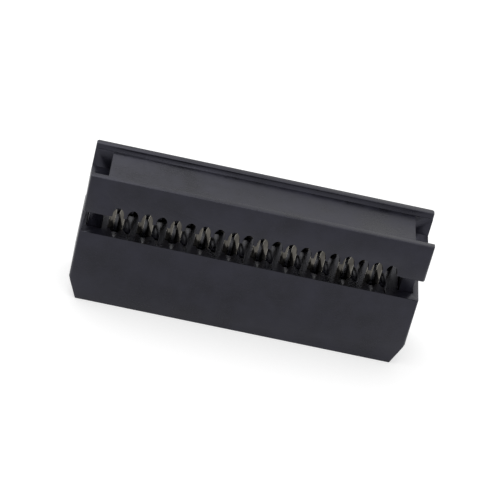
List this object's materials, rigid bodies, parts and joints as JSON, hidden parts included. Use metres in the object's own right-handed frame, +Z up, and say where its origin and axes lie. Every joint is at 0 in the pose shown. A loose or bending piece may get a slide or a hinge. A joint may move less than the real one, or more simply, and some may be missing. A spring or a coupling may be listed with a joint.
{
  "type": "idc ribbon cable socket connector",
  "caption": "Flat ribbon cable socket: black moulded housing with square sockets and forked contacts, a press-down cover on two legs, and a polarising key.",
  "frame": {"origin": "centre of the mating face, midway between the two rows of sockets", "axes": "+X along the rows of sockets, +Y through the thickness towards the polarising key, +Z up from the mating face towards the cover"},
  "size_m": [0.0302, 0.0069, 0.0128],
  "materials": {
    "housing_plastic": "satin, finely textured black moulding",
    "cover_plastic": "satin, finely textured black moulding",
    "contact_metal": "bright plated spring strip"
  },
  "bodies": {
    "base": {"housing": "housing_plastic", "contact_01": "contact_metal", "contact_02": "contact_metal", "contact_03": "contact_metal", "contact_04": "contact_metal", "contact_05": "contact_metal", "contact_06": "contact_metal", "contact_07": "contact_metal", "contact_08": "contact_metal", "contact_09": "contact_metal", "contact_10": "contact_metal", "contact_11": "contact_metal", "contact_12": "contact_metal", "contact_13": "contact_metal", "contact_14": "contact_metal", "contact_15": "contact_metal", "contact_16": "contact_metal", "contact_17": "contact_metal", "contact_18": "contact_metal", "contact_19": "contact_metal", "contact_20": "contact_metal"},
    "cover": {"cover": "cover_plastic"}
  },
  "joints": [
    {"name": "cover_slide", "type": "slide", "parent": "base", "child": "cover", "axis": [0, 0, 1], "range_m": [-0.002, 0]}
  ]
}
